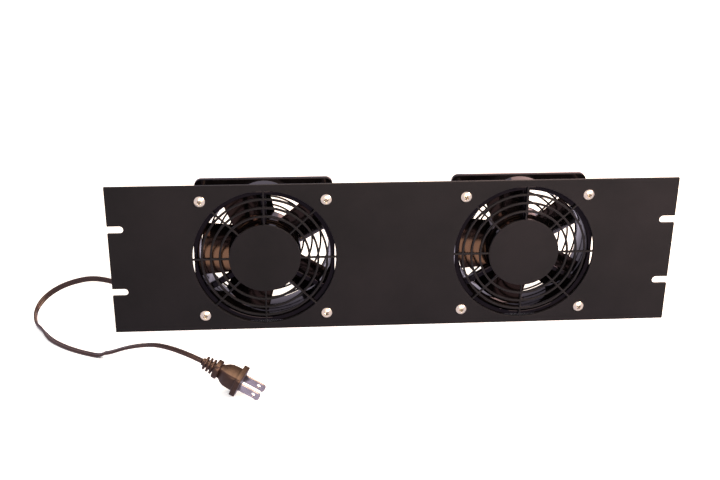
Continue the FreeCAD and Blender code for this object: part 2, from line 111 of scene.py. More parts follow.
def selectWhere(piece, part, wanted):  # in edit mode; part is "verts", "edges" or "faces"
    mesh = bmesh.from_edit_mesh(piece.data)
    for kind in (mesh.verts, mesh.edges, mesh.faces):
        for item in kind:
            item.select = False
    for item in getattr(mesh, part):
        if wanted(item):
            item.select_set(True)
    mesh.select_flush_mode()
    bmesh.update_edit_mesh(piece.data)


def extrude(x=0.0, y=0.0, z=0.0):
    bpy.ops.mesh.extrude_region_move(TRANSFORM_OT_translate={"value": (x * mm, y * mm, z * mm)})


def drawn(name, points):  # a line drawn vertex by vertex, from (radius, depth) pairs
    clearSelection()
    radius, depth = points[0]
    bpy.ops.mesh.primitive_plane_add(size=mm, location=(radius * mm, depth * mm, 0))
    piece = named(name)
    editing(piece, "VERT")
    bpy.ops.mesh.select_all(action="SELECT")
    bpy.ops.mesh.merge(type="CENTER")
    for (r0, y0), (r1, y1) in zip(points, points[1:]):
        extrude(x=r1 - r0, y=y1 - y0)
    done()
    return piece


def tidied(piece, gap=0.002):
    editing(piece, "VERT")
    bpy.ops.mesh.select_all(action="SELECT")
    bpy.ops.mesh.remove_doubles(threshold=gap * mm)
    bpy.ops.mesh.normals_make_consistent(inside=False)
    done()
    return piece


def spun(name, points, steps=96, closed=False):  # the drawn line turned round the Y axis
    piece = drawn(name, points + points[:1] if closed else points)
    editing(piece, "VERT")
    bpy.ops.mesh.select_all(action="SELECT")
    bpy.ops.mesh.remove_doubles(threshold=0.002 * mm)
    bpy.ops.mesh.select_all(action="SELECT")
    bpy.ops.mesh.spin(steps=steps, angle=2 * math.pi, center=(0, 0, 0), axis=(0, 1, 0))
    done()
    return tidied(piece)


def modified(piece, kind, **settings):
    pick(piece)
    modifier = piece.modifiers.new(kind.title(), kind)
    for key, value in settings.items():
        setattr(modifier, key, value)
    bpy.ops.object.modifier_apply(modifier=modifier.name)
    return piece


def boolean(piece, tool, how):
    modified(piece, "BOOLEAN", operation=how, solver="EXACT", object=tool)
    bpy.data.objects.remove(tool)
    return piece


def rounded(piece, width, segments=2, angle=35):
    return modified(piece, "BEVEL", width=width * mm, segments=segments, limit_method="ANGLE",
                    angle_limit=math.radians(angle), use_clamp_overlap=False, miter_outer="MITER_ARC")


def smoothed(piece, angle=35):
    pick(piece)
    bpy.ops.object.shade_smooth_by_angle(angle=math.radians(angle))
    return piece


def levelled(piece, area=40):  # broad flat faces shade flat, so that reflections run straight across them
    editing(piece)
    selectWhere(piece, "faces", lambda f: f.calc_area() > area * mm * mm and abs(f.normal.y) > 0.999)
    bpy.ops.mesh.faces_shade_flat()
    done()
    return piece


def copied(piece, name, place=None):
    other = piece.copy()
    other.data = piece.data.copy()
    other.name = name
    other.data.name = name
    bpy.context.scene.collection.objects.link(other)
    if place is not None:
        other.data.transform(place)
    return other


def joined(name, pieces):
    clearSelection()
    for piece in pieces:
        piece.select_set(True)
    bpy.context.view_layer.objects.active = pieces[0]
    if len(pieces) > 1:
        bpy.ops.object.join()
    return named(name)


def turn(degrees):  # round the Y axis, anticlockwise seen from the front
    return Matrix.Rotation(math.radians(-degrees), 4, "Y")


def shift(x=0.0, y=0.0, z=0.0):
    return Matrix.Translation((x * mm, y * mm, z * mm))


def around(piece, name, degrees):  # copies turned round the Y axis, as one piece
    copies = [copied(piece, name, turn(a)) for a in degrees]
    bpy.data.objects.remove(piece)
    return joined(name, copies)


def finished(piece, body, slot, material, *replaced):
    piece.data.materials.clear()
    piece.data.materials.append(material)
    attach(piece, body)
    if replaced:
        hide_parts(*replaced)


def forBothFans(piece, node, body, slot, material):
    for side, x in sides.items():
        copy = copied(piece, side + piece.name[0].upper() + piece.name[1:], Matrix.Translation((x, 0, 0)))
        finished(copy, side + "_rotor" if body == "rotor" else body, slot, material, f"{side}_{node}")
    bpy.data.objects.remove(piece)


# Materials

def shade(code):  # sRGB hex to linear
    parts = [int(code[i:i + 2], 16) / 255 for i in (1, 3, 5)]
    return [*(c / 12.92 if c <= 0.04045 else ((c + 0.055) / 1.055) ** 2.4 for c in parts), 1.0]


def add(tree, kind, inputs=None, **settings):  # one node, with its settings, values and links
    node = tree.nodes.new("ShaderNode" + kind)
    for key, value in settings.items():
        setattr(node, key, value)
    for key, value in (inputs or {}).items():
        if isinstance(value, bpy.types.NodeSocket):
            tree.links.new(value, node.inputs[key])
        else:
            node.inputs[key].default_value = value
    return node


def coloured(name, look):  # a surface with drifting colour and gloss, and a fine grain
    material = bpy.data.materials.new(name)
    material.use_nodes = True
    tree = material.node_tree
    tree.nodes.clear()
    place = add(tree, "TexCoord").outputs["Object"]
    patches = add(tree, "TexNoise", {"Vector": place, "Scale": 1 / (look["patch"] * mm), "Detail": 4.0})
    grain = add(tree, "TexNoise", {"Vector": place, "Scale": 1 / (look["grain"] * mm), "Detail": 2.0})
    drift = add(tree, "MapRange", {"Value": patches.outputs["Fac"], "From Min": 0.35, "From Max": 0.65})
    colour = add(tree, "Mix", {"Factor": drift.outputs["Result"], "A": shade(look["tones"][0]),
                               "B": shade(look["tones"][1])}, data_type="RGBA")
    if "grime" in look:  # painted shade and dirt darken the surface where it is sunk
        exposed = add(tree, "AmbientOcclusion", {"Distance": look["depth"] * mm}, samples=12, only_local=True)
        unshadedShare = add(tree, "MapRange", {"Value": exposed.outputs["AO"], "From Min": 0.35, "From Max": 0.85})
        colour = add(tree, "Mix", {"Factor": unshadedShare.outputs["Result"], "A": shade(look["grime"]),
                                   "B": colour.outputs["Result"]}, data_type="RGBA")
    gloss = add(tree, "MapRange", {"Value": patches.outputs["Fac"], "From Min": 0.3, "From Max": 0.7,
                                   "To Min": look["rough"][0], "To Max": look["rough"][1]})
    relief = add(tree, "Bump", {"Height": grain.outputs["Fac"], "Distance": look["relief"] * mm})
    # the reflection tint colours all reflected light: a painted cast on the reflections
    shader = add(tree, "BsdfPrincipled", {"Base Color": colour.outputs["Result"], "Roughness": gloss.outputs["Result"],
                                          "Normal": relief.outputs["Normal"], "Metallic": look.get("metal", 0.0),
                                          "Specular IOR Level": look.get("specular", 0.5),
                                          "Specular Tint": shade(look.get("sheen", "#ffffff")),
                                          "Coat Weight": look.get("coat", 0.0),
                                          "Coat Roughness": look.get("coatRough", 0.1)})
    add(tree, "OutputMaterial", {"Surface": shader.outputs["BSDF"]})
    return material


def striped(name, look):  # the same, with fine lines across one axis: laminations or turns of wire
    material = coloured(name, look)
    tree = material.node_tree
    place = add(tree, "TexCoord").outputs["Object"]
    turned = add(tree, "Mapping", {"Vector": place, "Rotation": look["across"]})
    # one wave every 1/(scale * 20) metres
    lines = add(tree, "TexWave", {"Vector": turned.outputs["Vector"], "Scale": 1 / (20 * look["pitch"] * mm),
                                  "Distortion": 0.3}, wave_type="BANDS", bands_direction="X")
    relief = add(tree, "Bump", {"Height": lines.outputs["Fac"], "Distance": look["pitch"] * 0.3 * mm,
                                "Strength": 0.7})
    shader = next(node for node in tree.nodes if node.type == "BSDF_PRINCIPLED")
    tree.links.new(relief.outputs["Normal"], shader.inputs["Normal"])
    return material


looks = {
    # polyester powder coat on steel: a dead-even dark grey film with fine orange peel and a soft sheen
    "powderCoat": {"tones": ("#1d1e21", "#222226"), "rough": (0.38, 0.48), "patch": 70, "grain": 0.9, "relief": 0.02,
                   "specular": 0.09},
    # stoved enamel on die-cast aluminium: wet black, with the casting's faint waviness under it, and a painted
    # lavender tint on its reflections
    "castEnamel": {"tones": ("#080708", "#0f0e0f"), "rough": (0.04, 0.1), "patch": 16, "grain": 3.5, "relief": 0.03,
                   "specular": 0.14, "sheen": "#dccfe8"},
    # moulded glass-filled nylon: black, with a skin as smooth as its mould, faintly uneven, with a painted warm tint
    # on its reflections
    "mouldedNylon": {"tones": ("#090809", "#0f0e0f"), "rough": (0.1, 0.17), "patch": 22, "grain": 5.0, "relief": 0.02,
                     "specular": 0.27, "sheen": "#ffcfbc"},
    # dipped black enamel on pressed steel and wire
    "dippedEnamel": {"tones": ("#0e0d0e", "#181617"), "rough": (0.2, 0.32), "patch": 9, "grain": 1.2, "relief": 0.02},
    # zinc plate, passivated: bright and faintly straw-coloured, with painted shade and dirt in the recesses
    "zincPlate": {"tones": ("#f4e6c4", "#dcd5c2"), "rough": (0.16, 0.3), "patch": 2.5, "grain": 0.5, "relief": 0.006,
                  "metal": 1.0, "grime": "#5c4f3c", "depth": 1.8},
    # nickel plate on brass: smooth and nearly colourless, with fine draw marks
    "nickelPlate": {"tones": ("#b4aeb2", "#9f989d"), "rough": (0.2, 0.32), "patch": 4, "grain": 0.35, "relief": 0.006,
                    "metal": 1.0},
    # soft PVC of the cord: brown-black, polished by handling, with a painted warm tint on its reflections
    "cordVinyl": {"tones": ("#251915", "#33241e"), "rough": (0.22, 0.34), "patch": 12, "grain": 1.1, "relief": 0.015,
                  "sheen": "#ffd2b8", "coat": 0.3, "coatRough": 0.2},
    # moulded PVC of the plug and the fan's connector: the same stuff, with a dull moulded skin and a painted warm tint
    # on its reflections
    "plugVinyl": {"tones": ("#211816", "#2e231f"), "rough": (0.28, 0.38), "patch": 7, "grain": 0.8, "relief": 0.02,
                  "specular": 0.6, "sheen": "#ffd8c2"},
    # phenolic terminal block: dull black with a fine moulded skin
    "phenolic": {"tones": ("#121112", "#1b1919"), "rough": (0.4, 0.52), "patch": 5, "grain": 0.5, "relief": 0.02},
    # ground bearing steel: pale, with a fine grinding grain
    "groundSteel": {"tones": ("#b8b7b5", "#a3a2a1"), "rough": (0.18, 0.3), "patch": 2, "grain": 0.2, "relief": 0.004,
                    "metal": 1.0},
    # tempered spring steel: darker, with blue-brown temper colours
    "springSteel": {"tones": ("#67615f", "#5a5f6b"), "rough": (0.3, 0.42), "patch": 2, "grain": 0.3, "relief": 0.004,
                    "metal": 1.0},
}
paints = {name: coloured(name, look) for name, look in looks.items()}
# stacked electrical steel: 0.5 mm sheets edge on, blued and slightly rusty
paints["laminations"] = striped("laminations", {
    "tones": ("#6b6560", "#57565a"), "rough": (0.35, 0.5), "patch": 3, "grain": 0.4, "relief": 0.01, "metal": 1.0,
    "pitch": 0.5, "across": (0, 0, quarter)})
# enamelled copper wire of 0.3 mm, wound tight: red-brown and lacquered
paints["windings"] = striped("windings", {
    "tones": ("#8f3f1c", "#a85226"), "rough": (0.2, 0.3), "patch": 3, "grain": 0.4, "relief": 0.01, "coat": 0.5,
    "pitch": 0.3, "across": (0, 0, 0)})
print("materials made")


# Camera, floor and light

# millimetres and degrees
eye = {"place": (-91.02, -816.35, 351.45), "heading": -4.254, "tilt": 22.384, "roll": 0.416, "lens": 52.02}


def makeCamera():
    camera = bpy.data.cameras.new("camera")
    camera.lens = eye["lens"]
    camera.sensor_width = 36
    camera.sensor_fit = "HORIZONTAL"
    camera.clip_start = 0.01
    camera.clip_end = 20
    holder = bpy.data.objects.new("camera", camera)
    bpy.context.scene.collection.objects.link(holder)
    holder.matrix_world = (shift(*eye["place"]) @ Matrix.Rotation(math.radians(eye["heading"]), 4, "Z")
                           @ Matrix.Rotation(math.radians(90 - eye["tilt"]), 4, "X")
                           @ Matrix.Rotation(math.radians(eye["roll"]), 4, "Z"))
    bpy.context.scene.camera = holder


lamps = {  # metres and watts
    "key": {"place": (0.25, -1.6, 0.95), "target": (0, 0, 0), "size": (1.8, 1.6), "power": 10.5, "colour": "#ffe6d0",
            "mirrored": False},
    "card": {"place": (0.18, -1.2, 0.58), "target": (0, 0, 0), "size": (0.9, 0.75), "power": 18, "colour": "#ffe6c6",
             "falls": False},  # only seen in polished pieces
    "right": {"place": (0.68, -0.58, 0.6), "target": (0.12, 0, 0), "size": (0.32, 0.26), "power": 15.5,
              "colour": "#ffdcc8"},
    "top": {"place": (0.3, 0.65, 1.15), "target": (-0.05, 0, 0), "size": (1.2, 0.6), "power": 17, "colour": "#ffdcb2"},
    "rim": {"place": (0.7, 1.3, 0.4), "target": (0, 0, 0), "size": (0.9, 0.5), "power": 3, "colour": "#ffc6ae"},
}


def softbox(name, place, target, size, power, colour, falls=True, mirrored=True):
    light = bpy.data.lights.new(name, "AREA")
    light.shape = "RECTANGLE"
    light.size, light.size_y = size
    light.energy = power
    light.color = shade(colour)[:3]
    holder = bpy.data.objects.new(name, light)
    bpy.context.scene.collection.objects.link(holder)
    holder.location = place
    holder.rotation_euler = (Vector(target) - Vector(place)).to_track_quat("-Z", "Y").to_euler()
    holder.visible_diffuse = falls
    holder.visible_glossy = mirrored
    holder.visible_camera = False


def shaded(tree, seen, mirrored, unseen):  # for the camera, for reflections, and for the light that falls
    path = add(tree, "LightPath")
    bounced = add(tree, "Math", {0: path.outputs["Is Glossy Ray"], 1: path.outputs["Is Transmission Ray"]},
                  operation="MAXIMUM")
    either = add(tree, "MixShader", {0: bounced.outputs["Value"], 1: unseen, 2: mirrored})
    return add(tree, "MixShader", {0: path.outputs["Is Camera Ray"], 1: either.outputs[0], 2: seen})


studio = {"floor": 6, "paper": (0.82, 0.82, 0.83, 1), "glow": 0.8, "ambient": "#f4f1f6", "ambientPower": 0.25,
          "mirrored": "#e8dcf0", "mirroredPower": 1.1,  # the surroundings that polished pieces show, faintly lavender
          "gap": 35, "gapShut": 0.2, "gapOpen": 0.42, "gapTone": "#171416"}  # the painted shadow under the fans


def makeStudio():
    world = bpy.data.worlds.new("studio")
    bpy.context.scene.world = world
    world.use_nodes = True
    tree = world.node_tree
    tree.nodes.clear()
    seen = add(tree, "Background", {"Color": (1, 1, 1, 1), "Strength": 1.0})
    unseen = add(tree, "Background", {"Color": shade(studio["ambient"]), "Strength": studio["ambientPower"]})
    mirrored = add(tree, "Background", {"Color": shade(studio["mirrored"]), "Strength": studio["mirroredPower"]})
    mixed = shaded(tree, seen.outputs[0], mirrored.outputs[0], unseen.outputs[0])
    add(tree, "OutputWorld", {"Surface": mixed.outputs[0]})

    clearSelection()
    bpy.ops.mesh.primitive_plane_add(size=studio["floor"], location=(0, 0, cadBox[0].z))
    floor = named("floor")
    paper = bpy.data.materials.new("whitePaper")
    paper.use_nodes = True
    tree = paper.node_tree
    tree.nodes.clear()
    lit = add(tree, "BsdfDiffuse", {"Color": studio["paper"]})
    # painted shadow: deep in the narrow gap under the fans no light reaches the paper, so ambient occlusion darkens
    # its colour and its glow
    reached = add(tree, "AmbientOcclusion", {"Distance": studio["gap"] * mm}, samples=12)
    exposed = add(tree, "MapRange", {"Value": reached.outputs["AO"], "From Min": studio["gapShut"],
                                     "From Max": studio["gapOpen"]})
    shadowedPaper = add(tree, "Mix", {"Factor": exposed.outputs["Result"], "A": shade(studio["gapTone"]),
                                  "B": (1, 1, 1, 1)}, data_type="RGBA")
    glow = add(tree, "Emission", {"Color": shadowedPaper.outputs["Result"], "Strength": studio["glow"]})
    shown = add(tree, "BsdfDiffuse", {"Color": shadowedPaper.outputs["Result"]})
    both = add(tree, "AddShader", {0: shown.outputs[0], 1: glow.outputs[0]})
    mirrored = add(tree, "Emission", {"Color": shade(studio["mirrored"]), "Strength": studio["mirroredPower"]})
    mixed = shaded(tree, both.outputs[0], mirrored.outputs[0], lit.outputs[0])
    add(tree, "OutputMaterial", {"Surface": mixed.outputs[0]})
    floor.data.materials.append(paper)

    for name, lamp in lamps.items():
        softbox(name, **lamp)


makeCamera()
makeStudio()
print("camera and studio made")


# Supply cord: flat two-core cord, 5.0 by 2.5 mm

cordRoute = (
    (-188.7, 19.0, -36.0),
    (-224.0, 19.0, -36.0),
    (-258.0, 28.5, -27.0),
    (-285.0, 35.5, -35.0),
    (-304.0, 36.5, -45.5),
    (-314.5, 29.5, -56.0),
    (-313.4, 14.5, -62.85),
    (-303.4, 0.5, -64.15),
    (-294.0, -16.0, -64.2),
    (-273.0, -34.5, -64.2),
    (-247.0, -47.5, -64.2),
    (-218.0, -60.5, -48.5),
    (-187.0, -81.0, -38.0),
)
plug = {"place": (-129.2, -111.2, -56.5), "heading": -18.0, "tilt": 24.0, "roll": 1.5, "length": 34.5}
plugPlace = (shift(*plug["place"]) @ Matrix.Rotation(math.radians(plug["heading"]), 4, "Z")
             @ Matrix.Rotation(math.radians(plug["tilt"]), 4, "Y")
             @ Matrix.Rotation(math.radians(plug["roll"]), 4, "X"))
cordShape = {
    "width": 5.0, "thick": 2.5, "steps": 14, "clear": 0.05, "settleFrom": 5.0, "settleOver": 2.5,
    # a quarter of the section's outline, as shares of half the width and half the thickness, from the groove outwards
    "outline": ((0.0, 0.62), (0.1, 0.72), (0.2, 0.9), (0.32, 0.98), (0.48, 1.0), (0.66, 0.94), (0.8, 0.8),
                (0.92, 0.55), (1.0, 0.0)),
    # how far the wide side stands up off the floor, in degrees, along the cord's length
    "stand": ((0.0, 90), (0.36, 90), (0.46, 70), (0.55, 0), (1.0, 0)),
}


def between(pairs, share):
    for (a, x), (b, y) in zip(pairs, pairs[1:]):
        if share <= b:
            t = (share - a) / (b - a)
            t = t * t * (3 - 2 * t)
            return x + (y - x) * t
    return pairs[-1][1]


def routeLine(points, steps):  # the points that a NURBS line through the route passes
    curve = bpy.data.curves.new("route", "CURVE")
    curve.dimensions = "3D"
    spline = curve.splines.new("NURBS")
    spline.points.add(len(points) - 1)
    for point, place in zip(spline.points, points):
        point.co = (*place, 1)
    spline.order_u = 3
    spline.use_endpoint_u = True
    spline.resolution_u = steps
    holder = bpy.data.objects.new("route", curve)
    bpy.context.scene.collection.objects.link(holder)
    bpy.context.view_layer.update()
    line = bpy.data.meshes.new_from_object(holder)
    found = [v.co.copy() for v in line.vertices]
    bpy.data.objects.remove(holder)
    return found


def makeCord():
    tail = plugPlace @ Vector((-plug["length"] * mm, 0, 0))
    line = routeLine([Vector(p) * mm for p in cordRoute] + [tail], cordShape["steps"])
    lengths = [0.0]
    for a, b in zip(line, line[1:]):
        lengths.append(lengths[-1] + (b - a).length)
    halfWidth = cordShape["width"] / 2 * mm
    halfThick = cordShape["thick"] / 2 * mm
    quarterLine = cordShape["outline"]
    outline = [(x * halfWidth, y * halfThick) for x, y in quarterLine]
    outline += [(x * halfWidth, -y * halfThick) for x, y in reversed(quarterLine[:-1])]
    outline += [(-x * halfWidth, -y * halfThick) for x, y in quarterLine[1:]]
    outline += [(-x * halfWidth, y * halfThick) for x, y in reversed(quarterLine[1:-1])]
    floorHeight = cadBox[0].z
    path, corners = [], []
    for i, point in enumerate(line):
        along = (line[min(i + 1, len(line) - 1)] - line[max(i - 1, 0)]).normalized()
        share = lengths[i] / lengths[-1]
        stand = math.radians(between(cordShape["stand"], share))
        level = Vector((along.y, -along.x, 0)).normalized()
        up = level.cross(along)
        wide = level * math.cos(stand) + up * math.sin(stand)
        face = up * math.cos(stand) - level * math.sin(stand)
        reach = halfThick + (halfWidth - halfThick) * abs(math.sin(stand))
        low = (floorHeight + cordShape["settleFrom"] * mm - point.z) / (cordShape["settleOver"] * mm)
        near = min(1.0, max(0.0, low))  # a run that comes close to the floor settles on it
        resting = floorHeight + reach + cordShape["clear"] * mm
        point = Vector((point.x, point.y, point.z + (resting - point.z) * near))
        path.append(point)
        corners += [point + wide * x + face * y for x, y in outline]
    count = len(outline)
    faces = [(r * count + k, r * count + (k + 1) % count, (r + 1) * count + (k + 1) % count, (r + 1) * count + k)
             for r in range(len(path) - 1) for k in range(count)]
    faces += [tuple(range(count)), tuple(range(len(corners) - 1, len(corners) - 1 - count, -1))]
    mesh = bpy.data.meshes.new("supplyCord")
    mesh.from_pydata(corners, [], faces)
    piece = bpy.data.objects.new("supplyCord", mesh)
    bpy.context.scene.collection.objects.link(piece)
    tidied(piece, 0.0005)
    smoothed(piece, 50)
    finished(piece, "chassis", "cord_pvc", paints["cordVinyl"], "supply_cord")
    return piece, path, sum((b - a).length for a, b in zip(path, path[1:]))


# Front panel: 2.5 mm steel, powder coated, with the grilles and the rack slots cut in it

panel = {"width": 482.6, "height": 132.5, "thick": 2.5, "grille": 60.7, "disc": 30.4, "rings": 3, "ring": 1.8,
         "spokes": 8, "spoke": 1.4, "slot": 6.4, "slotDepth": 13.4, "slotPitch": 57.15, "hole": 2.25, "edge": 0.38}


def makePanel():
    low, high = -panel["thick"] - 1, 1
    cutters = []
    step = (panel["grille"] - panel["disc"]) / (panel["rings"] + 1)
    for gap in range(panel["rings"] + 1):
        inner = panel["disc"] + step * gap + (panel["ring"] / 2 if gap else 0)
        outer = panel["disc"] + step * (gap + 1) - (panel["ring"] / 2 if gap < panel["rings"] else 0)
        cutters.append(spun("gap", [(inner, low), (outer, low), (outer, high), (inner, high)], 144, closed=True))
    gaps = joined("gaps", cutters)
    bar = box("bar", (panel["disc"] - 4, low - 1, -panel["spoke"] / 2),
              (panel["grille"] + 4, high + 1, panel["spoke"] / 2))
    windows = boolean(gaps, around(bar, "bars", [360 / panel["spokes"] * k for k in range(panel["spokes"])]),
                      "DIFFERENCE")
    tools = [copied(windows, "windows", Matrix.Translation((x, 0, 0))) for x in sides.values()]
    bpy.data.objects.remove(windows)
    for fan in sides.values():
        for x, z in screwPlaces:
            tools.append(rod("hole", panel["hole"], low, high, 32, fan / mm + x, z))
    for side in (-1, 1):
        for z in (-panel["slotPitch"] / 2, panel["slotPitch"] / 2):
            half = panel["slot"] / 2
            centre = side * (panel["width"] / 2 - panel["slotDepth"] + half)
            slot = rod("slot", half, low, high, 48, centre, z)
            for vertex in slot.data.vertices:  # the outer half of the round is drawn out past the panel's end
                if (vertex.co.x / mm - centre) * side > 1e-4:
                    vertex.co.x = side * (panel["width"] / 2 + 2) * mm
                    vertex.co.z = (z + math.copysign(half, vertex.co.z / mm - z)) * mm
            tools.append(tidied(slot))
    plate = box("frontPanel", (-panel["width"] / 2, -panel["thick"], -panel["height"] / 2),
                (panel["width"] / 2, 0, panel["height"] / 2))
    boolean(plate, joined("panelTools", tools), "DIFFERENCE")
    rounded(plate, panel["edge"], 2, 40)
    levelled(smoothed(plate, 40))
    finished(plate, "chassis", "panel_black", paints["powderCoat"], "panel")


# Fan housing: two square flanges, the barrel, the motor's base and its three struts, cast in one

housing = {"size": 119.0, "depth": 38.0, "corner": 6.0, "flange": 5.0, "barrel": 58.5, "duct": 55.8, "lip": 56.6,
           "lipDepth": 3.0, "hole": 2.25, "edge": 0.6}
base = {"front": 1.0, "radius": 29.0, "wall": 2.2, "depth": 7.4, "tube": 6.0, "tubeEnd": 28.8, "bore": 4.5,
        "shoulder": 3.6, "seatFront": 9.6, "seatBack": 24.0, "strutDepth": 5.0, "nose": 1.3,
        "struts": ((90, 5.2, 0.7), (330, 5.2, 0.7), (210, 5.4, 0.92)),  # angle, width, and the share left at the back
        "leadAngle": 210, "channel": 3.4, "channelDeep": 1.6}


def makeFlange(start):
    half = housing["size"] / 2
    end = start + housing["flange"]
    plate = box("flange", (-half, start, -half), (half, end, half))
    editing(plate, "EDGE")
    selectWhere(plate, "edges", lambda e: abs(e.verts[0].co.y - e.verts[1].co.y) > mm)
    bpy.ops.mesh.bevel(offset=housing["corner"] * mm, segments=10, affect="EDGES")
    done()
    return rounded(plate, housing["edge"], 3, 60)


def makeHousing():
    depth = housing["depth"]
    lip = housing["lip"]
    shell = makeFlange(0)
    boolean(shell, makeFlange(depth - housing["flange"]), "UNION")
    boolean(shell, rod("barrel", housing["barrel"], 0.5, depth - 0.5, 160), "UNION")
    duct = [(0, -1), (lip + 1.2, -1), (lip + 0.5, 0), (lip + 0.1, 0.25), (lip - 0.15, 0.8),
            (housing["duct"], housing["lipDepth"])]
    duct += [(r, depth - y) for r, y in reversed(duct)]
    boolean(shell, spun("duct", duct, 160), "DIFFERENCE")
    for x, z in screwPlaces:
        boolean(shell, rod("hole", housing["hole"], -1, depth + 1, 32, x, z), "DIFFERENCE")

    front, radius = base["front"], base["radius"]
    dish = [(base["bore"], front), (radius - 0.8, front), (radius, front + 0.8), (radius, front + base["depth"] - 0.5),
            (radius - 0.5, front + base["depth"]), (radius - base["wall"], front + base["depth"]),
            (radius - base["wall"], front + base["wall"] + 0.8), (radius - base["wall"] - 0.8, front + base["wall"]),
            (base["tube"] + 1.2, front + base["wall"]), (base["tube"], front + base["wall"] + 1.2),
            (base["tube"], base["tubeEnd"] - 0.3), (base["tube"] - 0.3, base["tubeEnd"]),
            (base["bore"], base["tubeEnd"]), (base["bore"], base["seatBack"]), (base["shoulder"], base["seatBack"]),
            (base["shoulder"], base["seatFront"]), (base["bore"], base["seatFront"])]
    boolean(shell, spun("dish", dish, 96, closed=True), "UNION")
    strutEnd = front + base["strutDepth"]
    for angle, width, narrowed in base["struts"]:
        half = width / 2
        strut = box("strut", (radius - 1, front, -half), (housing["duct"] + 1, strutEnd, half))
        editing(strut)  # thinner towards the back, so that it leaves the mould
        selectWhere(strut, "faces", lambda f: f.normal.y > 0.9)
        bpy.ops.transform.resize(value=(1, 1, narrowed))
        bpy.ops.mesh.select_mode(type="EDGE")
        selectWhere(strut, "edges", lambda e: all(v.co.y < (front + 0.1) * mm for v in e.verts)
                    and abs(e.verts[0].co.x - e.verts[1].co.x) > mm)
        bpy.ops.mesh.bevel(offset=base["nose"] * mm, segments=5, affect="EDGES")
        done()
        rounded(strut, 0.5, 3, 50)
        strut.data.transform(turn(angle))
        boolean(shell, strut, "UNION")
    half = base["channel"] / 2
    channel = box("channel", (radius - 2.4, strutEnd - base["channelDeep"], -half),
                  (housing["barrel"] + 1.5, strutEnd + 0.2, half))
    channel.data.transform(turn(base["leadAngle"]))  # for the leads, along the wide strut's back
    boolean(shell, channel, "DIFFERENCE")
    levelled(smoothed(tidied(shell), 30))
    shell.name = "fanHousing"
    forBothFans(shell, "fan_frame", "chassis", "black_casting", paints["castEnamel"])


# Rotor: the pressed cup, and the impeller moulded round it

rotor = {"cup": 27.5, "front": 9.6, "back": 32.4, "hub": 31.0, "tip": 54.8, "blades": 5, "phase": 35.0,
         "rootWidth": 34.0, "tipWidth": 40.0, "bladeFront": 10.4, "bladeBack": 32.6, "rootCamber": 2.2,
         "tipCamber": 3.6, "thick": 2.1, "sink": 0.8}


def makeRotorCup():
    r, y = rotor["cup"], rotor["back"]
    outside = [(0, y - 1.2), (1.97, y - 1.2), (1.97, y - 0.3), (3.2, y - 0.3), (3.6, y - 0.9), (8, y - 0.9),
               (8.8, y), (21, y), (21.8, y - 0.6), (24.2, y - 0.6), (25, y), (r - 1.4, y), (r - 0.5, y - 0.4),
               (r, y - 1.4), (r, rotor["front"])]
    inside = [(r - 1, rotor["front"]), (r - 1, y - 2.2), (r - 1.6, y - 2.0), (4.2, y - 2.0), (3.2, y - 2.6),
              (3.2, 28.9), (0, 28.9)]
    cup = smoothed(spun("rotorCup", outside + inside, 96), 30)
    forBothFans(cup, "rotor_cup", "rotor", "black_steel", paints["dippedEnamel"])


def bladePoint(share, radius):  # on the blade's middle surface, from its front edge to its back edge
    inner = math.sqrt((rotor["hub"] - rotor["sink"]) ** 2 - (rotor["rootWidth"] / 2) ** 2) - rotor["sink"]
    deep = rotor["bladeBack"] - rotor["bladeFront"]
    x = radius
    for _ in range(12):  # the place out from the axis and the blade's width there settle together
        out = (x - inner) / (rotor["tip"] + rotor["sink"] - inner)
        width = rotor["rootWidth"] + (rotor["tipWidth"] - rotor["rootWidth"]) * out
        camber = rotor["rootCamber"] + (rotor["tipCamber"] - rotor["rootCamber"]) * out
        bow = 4 * camber * share * (1 - share) / math.hypot(deep, width)
        y = rotor["bladeFront"] + deep * share - bow * width
        z = width / 2 - width * share - bow * deep
        x = math.sqrt(radius * radius - z * z)
    return Vector((x, y, z)) * mm


def makeImpeller():
    chordwise, spanwise = 21, 9
    root = rotor["hub"] - rotor["sink"]
    clearSelection()
    bpy.ops.mesh.primitive_grid_add(x_subdivisions=chordwise - 1, y_subdivisions=spanwise - 1, size=1)
    blade = named("blade")
    for vertex in blade.data.vertices:  # the flat sheet is bent to the blade's middle surface
        share, out = vertex.co.x + 0.5, vertex.co.y + 0.5
        vertex.co = bladePoint(share, root + (rotor["tip"] - root) * out)
    thin = blade.vertex_groups.new(name="thickness")
    for vertex in blade.data.vertices:
        share = (vertex.index % chordwise) / (chordwise - 1)
        thin.add([vertex.index], 0.45 + 0.55 * math.sin(math.pi * share) ** 0.7, "REPLACE")
    modified(blade, "SOLIDIFY", thickness=rotor["thick"] * mm, offset=0, vertex_group="thickness",
             use_even_offset=True)
    rounded(blade, 0.35, 3, 55)
    tidied(blade)
    r, front, y = rotor["hub"], rotor["front"], rotor["back"]
    hub = spun("impeller", [(rotor["cup"], front), (r - 0.8, front), (r, front + 0.8), (r, y - 1.0), (r - 1.0, y),
                            (rotor["cup"], y)], 96, closed=True)
    for k in range(rotor["blades"]):
        boolean(hub, copied(blade, "blade", turn(rotor["phase"] + 360 / rotor["blades"] * k)), "UNION")
    bpy.data.objects.remove(blade)
    smoothed(tidied(hub, 0.001), 40)
    forBothFans(hub, "impeller", "rotor", "black_plastic", paints["mouldedNylon"])


# Finger guard: welded wire rings on four arms, looped round the screws

guard = {"wire": 0.9, "outer": 56.6, "step": 7.6, "rings": 7, "behind": 1.6, "loop": 3.3, "y": 38.9, "past": 1.8,
         "dressed": 0.4}


def wireRing(name, radius, y, x=0, z=0, steps=96):
    clearSelection()
    bpy.ops.mesh.primitive_torus_add(major_radius=radius * mm, minor_radius=guard["wire"] * mm, major_segments=steps,
                                     minor_segments=10, location=(x * mm, y * mm, z * mm), rotation=(quarter, 0, 0))
    return named(name)


